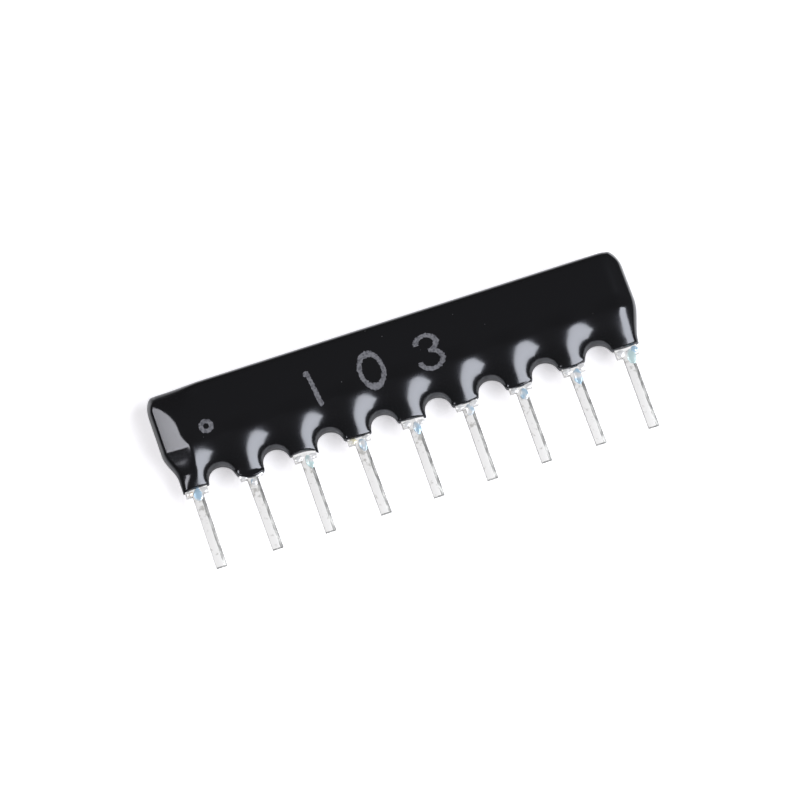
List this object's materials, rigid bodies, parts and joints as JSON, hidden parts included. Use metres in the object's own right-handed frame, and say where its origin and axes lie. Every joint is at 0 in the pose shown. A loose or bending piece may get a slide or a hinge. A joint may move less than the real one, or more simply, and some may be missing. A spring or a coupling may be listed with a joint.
{
  "type": "resistor network",
  "caption": "Flat black dipped resistor network: a row of flat tinned pins leaves a scalloped edge of the body and ties a bank of printed resistors to one common line.",
  "frame": {"origin": "middle of the pin row, on the seating plane under the shoulders and in the mid-plane of the leads", "axes": "+X along the row from pin 1 to the last pin, +Y from the seating plane up the body (the pins point to -Y), +Z out of the marked front; the part lies on its back"},
  "size_m": [0.0224, 0.0085, 0.002],
  "materials": {
    "epoxy_coat": "gloss black dipped epoxy",
    "alumina": "fired, matte",
    "glaze_film": "fired green glass print",
    "conductor_film": "fired silver print",
    "resistor_film": "fired resistor ink",
    "tinned_strip": "bright tin over strip",
    "solder": "bright solder"
  },
  "bodies": {
    "root": {"coating": "epoxy_coat", "substrate": "alumina", "overglaze": "glaze_film", "common_bus": "conductor_film", "pad_2": "conductor_film", "pad_3": "conductor_film", "pad_4": "conductor_film", "pad_5": "conductor_film", "pad_6": "conductor_film", "pad_7": "conductor_film", "pad_8": "conductor_film", "pad_9": "conductor_film", "resistor_1": "resistor_film", "resistor_2": "resistor_film", "resistor_3": "resistor_film", "resistor_4": "resistor_film", "resistor_5": "resistor_film", "resistor_6": "resistor_film", "resistor_7": "resistor_film", "resistor_8": "resistor_film", "terminal_1": "tinned_strip", "terminal_2": "tinned_strip", "terminal_3": "tinned_strip", "terminal_4": "tinned_strip", "terminal_5": "tinned_strip", "terminal_6": "tinned_strip", "terminal_7": "tinned_strip", "terminal_8": "tinned_strip", "terminal_9": "tinned_strip", "solder_joint_1": "solder", "solder_joint_2": "solder", "solder_joint_3": "solder", "solder_joint_4": "solder", "solder_joint_5": "solder", "solder_joint_6": "solder", "solder_joint_7": "solder", "solder_joint_8": "solder", "solder_joint_9": "solder"}
  },
  "joints": []
}
